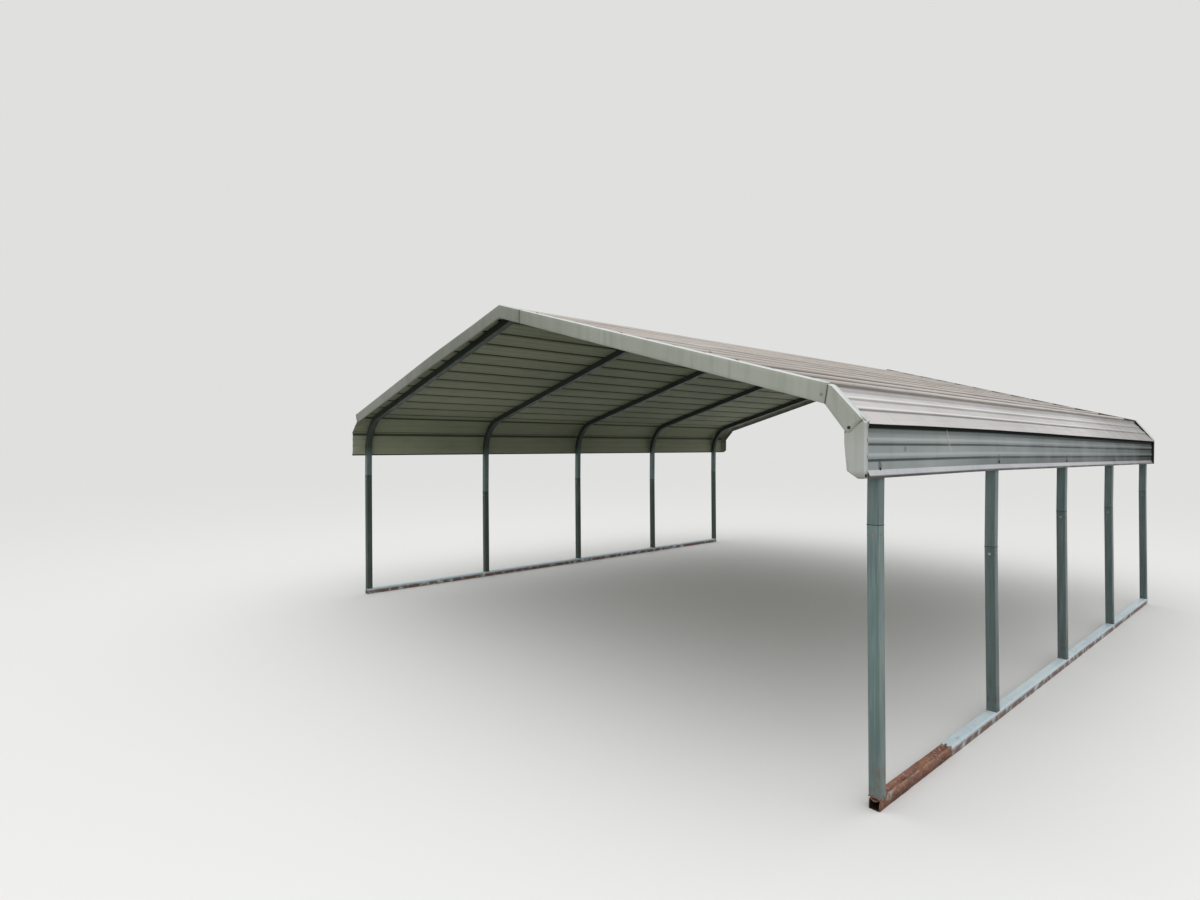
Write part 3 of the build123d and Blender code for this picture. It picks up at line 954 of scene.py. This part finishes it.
upperTurn = (slantTilt - roofTilt) / 2
lowerTurn = (math.pi / 2 - slantTilt) / 2
for name, side in sides.items():
    inside = "trimInside" if name == "right" else "trim"  # its shade shows past the sheets' ends
    foldedTrim(f"back_gable_slope_{name}", backKeys(slope, slope.length, backTrim["inner"], roofTilt, upperTurn),
               f"back_trim_slope_{name}", True, side, sink=lambda point: 0)
    top, foot = backKeys(slant, slant.length, backTrim["slantInner"], upperTurn, lowerTurn)
    high, tip = backTrim["standOff"], backTrim["tip"]
    lower = (slant(backTrim["liftedTo"], high), slant(backTrim["innerTo"], backTrim["slantInner"]), tip, 0.0)
    lifted = [(slant(-high * math.tan(upperTurn), high), top[1], tip, 0.0), lower, foot]
    foldedTrim(f"back_gable_slant_{name}", lifted, f"back_trim_slant_{name}", True, side, 0.0015,
               lambda point: sinkShare(slant, point), inside=inside)
    top, foot = backKeys(drop, carport["dropLength"] + carport["edgeBelow"], backTrim["dropInner"], lowerTurn, 0)
    above = (foot[0] + Vector((0, backTrim["cutOuter"])), foot[1] + Vector((0, backTrim["cutInner"])), *foot[2:])
    clipped = (foot[0], foot[1] + Vector((backTrim["cut"], 0)), *foot[2:])
    # its flange is darkened as painted shade
    foldedTrim(f"back_gable_drop_{name}", [top, above, clipped], f"back_trim_drop_{name}", True, side, 0.003,
               lambda point: 1, 0, 0.9, inside)
print("gable trims folded")


# self-drilling screws, in rings of a radius and a height
screwForm = {
    "washer": [(0.0085, 0), (0.00799, 0.0012)],
    "head": [(0.005512, 0.00132), (0.0052, 0.0038), (0.00416, 0.004256)],
    "flats": 0.93,  # of its hexagon, across
    "points": 12,
    "ribs": 12,  # with a screw over each bow, on either slope
    "aboveRib": 0.046, "seat": 0.002,  # up the slope, and off it
    "leftDrop": (-0.01, 1.575),  # along from the bow, and Z
    "flange": (2.9192, 0.022, 1.541),  # X, depth and Z of the one through the drop trim's flange
}


def screwRings(place, outward):
    turned = Vector(outward).to_track_quat("Z", "Y").to_matrix()
    for part in ("washer", "head"):
        for radius, height in screwForm[part]:
            ring = []
            for index in range(screwForm["points"]):
                angle = 2 * math.pi * index / screwForm["points"]
                hexed = radius * (screwForm["flats"] if part == "head" and index % 2 else 1)
                spot = Vector((hexed * math.cos(angle), hexed * math.sin(angle), height))
                ring.append(Vector(place) + turned @ spot)
            yield ring


def screws(name, spots, finish, slot="trim_steel"):
    places, faces = [], []
    for place, outward in spots:
        stackRings(places, faces, screwRings(place, outward))
    addPiece(name, meshFrom(name, places, faces, finish), slot, turn=35)


gableScrews = {  # X, depth and Z on the front gable
    "screw": ("gable_screws", [(0.244, 0, 2.594), (-0.275, 0, 2.614), (2.711, 0.0014, 1.910)]),
    "darkScrew": ("gable_screws_dark", [(2.8455, 0.0028, 1.755)]),
}
for finish, (name, spots) in gableScrews.items():
    screws(name, [((x, front + trimForm["setFront"] + depth, z), (0, -1, 0)) for x, depth, z in spots], finish)
face = dropMarks["face"]
dropScrews = [((face, y, z), (1, 0, 0)) for y, z in dropMarks["screws"]]
x, depth, z = screwForm["flange"]
dropScrews.append(((x, front + depth, z), (1, 0, 0)))
shift, z = screwForm["leftDrop"]
dropScrews += [((-face, bow + shift, z), (-1, 0, 0)) for bow in carport["bowY"]]
screws("drop_screws", dropScrews, "darkScrew", "sheet_steel")

roofScrews = []
for side in sides.values():
    for bow in carport["bowY"]:
        for rib in range(1, screwForm["ribs"] + 1):
            point = slope(rib * ribs["pitch"] - screwForm["aboveRib"], screwForm["seat"])
            roofScrews.append(((side * point.x, bow, point.y), (side * math.sin(roofTilt), 0, math.cos(roofTilt))))
screws("roof_screws", roofScrews, "screw", "sheet_steel")
print("screws set:", len(roofScrews) + len(dropScrews) + 4)


# steel frame
def dressNode(node, finish):
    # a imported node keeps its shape, and gets its finish and softened corners
    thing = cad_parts[node]
    for slot in thing.material_slots:
        slot.material = finishes[finish]
    soften = thing.modifiers.new("softCorners", "BEVEL")
    soften.width = carport["rounding"]
    soften.segments = 2
    soften.limit_method = "ANGLE"
    soften.angle_limit = math.radians(30)
    soften.harden_normals = True


for number in range(1, len(carport["bowY"]) + 1):
    dressNode(f"post_right_{number}", "frontPost" if number == 1 else "post")
    dressNode(f"post_left_{number}", "leftPost")
    dressNode(f"bow_{number}", "bow")
dressNode("base_rail_left", "rail")

rail = {
    "wall": 0.003,
    "corner": 0.004,
    "eatenTo": -2.27, "eatenOver": 0.03,  # rust has taken the front end this far
    "jag": 0.016,  # of the rust's limit
    "ragged": 0.006, "raggedUp": 0.004,  # its open end, and how much more at the top
    "sunk": 0.011, "sunkAll": 0.003,  # how far its top has sunk, in the middle and throughout
    "ridge": 0.004,  # left along its outer edge
    "flaked": 0.0015, "thinned": 0.002,  # sideways
    "tip": 0.006, "tipFrom": -2.96, "tipOver": 0.1,  # sunk further at its end
    "joint": -1.98, "jointDip": 0.0022, "jointReach": 0.006,
    "holes": [-2.801, -1.291, 0.219, 1.729, 2.699],
    "hole": (0.00945, 0.013125),  # half its width and length
    "holeRings": [(1.16, 0.0002), (1.05, 0.0011), (1.0, 0.0006), (0.96, -0.0020)],  # share of the hole, height
    "holePoints": 16,
    "dent": 0.0035, "dentReach": 0.022,  # round a hole
    "step": 0.012,  # between sections where it is eaten
    "fine": 0.006, "fineWithin": 0.035, "coarse": 0.12,  # beside a hole or the joint, and elsewhere
}


def railRing(half, corner):
    # the tube's outline with its top in eight strips, from the lower inner corner round
    flat, cut = half - corner, half - corner * 0.3
    ring = [(-half, -flat), (-half, 0), (-half, flat), (-cut, cut)]
    ring += [(-flat + 2 * flat * index / 8, half) for index in range(9)]
    ring += [(cut, cut), (half, flat), (half, 0), (half, -flat)]
    ring += [(cut, -cut), (flat, -half), (-flat, -half), (-cut, -cut)]
    return [Vector(point) for point in ring]


def railSurface(across, y, up):
    # the rail's skin after rust, dents and its joint; across and up are from the tube's middle
    place = Vector((carport["railX"] + across, y, halfTube + up))
    high = ease((up + halfTube * 0.2) / (halfTube * 1.2))
    eaten = ease((rail["eatenTo"] - y) / rail["eatenOver"] + 0.5)
    rough = noise.fractal(Vector((across * 30, y * 16, up * 30)), 0.9, 2.1, 4)
    if eaten:
        hollow = 1 - (across / halfTube) ** 2
        ridge = ease((across / halfTube - 0.45) / 0.4)
        sunk = rail["sunk"] * hollow * (0.7 + 0.5 * rough) + rail["sunkAll"] - rail["ridge"] * ridge
        place.z -= eaten * high * (sunk + rail["tip"] * ease((rail["tipFrom"] - y) / rail["tipOver"]))
        flaked = rail["flaked"] * rough * (1 if across > 0 else -1)
        place.x += eaten * (flaked - rail["thinned"] * across / halfTube)
    for hole in rail["holes"]:
        place.z -= high * rail["dent"] * bell(math.hypot(across * 0.8, y - hole), rail["dentReach"]) * (1 - eaten)
    place.z -= high * rail["jointDip"] * bell(y - rail["joint"] + across * 0.35, rail["jointReach"])
    return place


def railMarks():
    # close sections where it is eaten and round the holes and the joint
    low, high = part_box("base_rail_right")
    marks = [low.y + rail["step"] * index for index in range(int((rail["eatenTo"] + 0.04 - low.y) / rail["step"]))]
    y = marks[-1]
    while y < high.y - 0.03:
        near = min(abs(y - place) for place in rail["holes"] + [rail["joint"]])
        y += rail["fine"] if near < rail["fineWithin"] else min(rail["coarse"], near * 0.6)
        if y < high.y - 0.01:
            marks.append(y)
    return marks + [high.y]


def rustedRail():
    marks = railMarks()
    outer, inner = railRing(halfTube, rail["corner"]), railRing(halfTube - rail["wall"], rail["corner"] * 0.6)
    places = [railSurface(point.x, mark, point.y) for mark in marks for point in outer + inner]
    for place, point in zip(places, outer + inner):  # a ragged front end
        ragged = rail["ragged"] * noise.noise(Vector((point.x * 60, point.y * 60, 1)))
        place.y += max(0, ragged + rail["raggedUp"] * ease(point.y / halfTube))
    count = len(outer)
    faces, kinds = [], []
    for row, (mark, after) in enumerate(zip(marks, marks[1:])):
        for shift in (0, count):  # outer skin, inner skin; the inner one is painted dark as the shade inside the tube
            for quad, point in zip(ringWall(row * 2 * count + shift, count, 2 * count), outer):
                faces.append(quad[1:] + quad[:1] if shift else quad[:1] + quad[:0:-1])
                jag = rail["jag"] * noise.noise(Vector((point.x * 90, 5, point.y * 90)))
                kinds.append(2 if shift else 1 if (mark + after) / 2 < rail["eatenTo"] + jag else 0)
    backEdge = ringWall((len(marks) - 1) * 2 * count, count)
    faces += [*ringWall(0, count), *(quad[::-1] for quad in backEdge)]
    kinds += [1] * count + [0] * count
    mesh = meshFrom("rail_right", places, faces, "rail", "rust", "hollow")
    mesh.polygons.foreach_set("material_index", kinds)
    addPiece("rail_right", mesh, "frame_steel", "base_rail_right", turn=40)


def anchorHoles():
    # a sunken cup painted dark as the shade in each hole of the right rail, with a thin raised burr
    places, faces = [], []
    wide, long = rail["hole"]
    turns = [2 * math.pi * corner / rail["holePoints"] for corner in range(rail["holePoints"])]
    loop = [Vector((wide * math.cos(turn), long * math.sin(turn), 0)) for turn in turns]
    for y in rail["holes"]:
        middle = Vector((carport["railX"], y, railSurface(0, y, halfTube).z))
        stackRings(places, faces, ([middle + point * share + Vector((0, 0, high)) for point in loop]
                                   for share, high in rail["holeRings"]))
    addPiece("rail_holes_right", meshFrom("rail_holes_right", places, faces, "hollow"), "frame_steel", turn=50)


rustedRail()
anchorHoles()

# a lumpy bead round the foot of each post, and the splice above it
bead = {
    "radius": 0.0035,
    "points": 64, "angles": (-0.4, 0.3, 0.9, 1.6),  # round the post, and over the bead
    "lumps": 90,  # per metre
    "sideDrop": 0.0005,  # lower at the rail's sides
}
splice = {"seam": 0.0022, "proud": 0.0003, "screwDrop": 0.045}


def squareLoop(x, y, half, points):
    # even points round a square, from its left rear corner
    corners = ((-1, 1), (-1, -1), (1, -1), (1, 1), (-1, 1))
    for index in range(points):
        edge, share = divmod(4 * index / points, 1)
        here, there = Vector(corners[int(edge)]), Vector(corners[int(edge) + 1])
        yield Vector((x, y)) + half * here.lerp(there, share)


def footWelds():
    beads = bmesh.new()
    for side in sides.values():
        for y in carport["bowY"]:
            middle = Vector((side * carport["postX"] + carport["footLean"], y))
            rings = []
            for spot in squareLoop(*middle, halfTube, bead["points"]):
                outward = (spot - middle).normalized()
                lump = noise.noise(Vector((*(spot * bead["lumps"]), 2)))
                size = bead["radius"] * (0.75 + 0.5 * lump)
                atSide = abs(spot.x - middle.x) >= halfTube * 0.97
                base = carport["tube"] - (bead["sideDrop"] if atSide else 0)
                reach = [spot + outward * size * math.cos(angle) for angle in bead["angles"]]
                rings.append([beads.verts.new((*point, base + size * math.sin(angle)))
                              for point, angle in zip(reach, bead["angles"])])
            for ring, following in zip(rings, rings[1:] + rings[:1]):
                for low in range(3):
                    beads.faces.new((ring[low], following[low], following[low + 1], ring[low + 1]))
    bmesh.ops.recalc_face_normals(beads, faces=beads.faces)
    mesh = meshFrom("foot_welds", [], [], "weld")
    beads.to_mesh(mesh)
    beads.free()
    addPiece("foot_welds", mesh, "frame_steel", turn=70)


def spliceSeams():
    # the dark line where a bow's leg slips into its post
    places, faces, spots = [], [], []
    half, square = halfTube + splice["proud"], ((-1, -1), (1, -1), (1, 1), (-1, 1))
    for side in sides.values():
        for y, z in zip(carport["bowY"], carport["spliceZ"]):
            x = side * carport["postX"]
            base = len(places)
            for height in (z - splice["seam"], z + splice["seam"] * 0.4):
                places += [(x + dx * half, y + dy * half, height) for dx, dy in square]
            faces += ringWall(base, 4)
            leaned, low = x + carport["footLean"] * splice["screwDrop"] / z, z - splice["screwDrop"]
            spots.append(((leaned, y - halfTube, low), (0, -1, 0)))
            spots.append(((leaned + side * halfTube, y, low), (side, 0, 0)))
    addPiece("splice_seams", meshFrom("splice_seams", places, faces, "hollow"), "frame_steel")
    screws("splice_screws", spots, "screw", "frame_steel")


footWelds()
spliceSeams()
print("frame dressed, right rail rusted, feet welded")
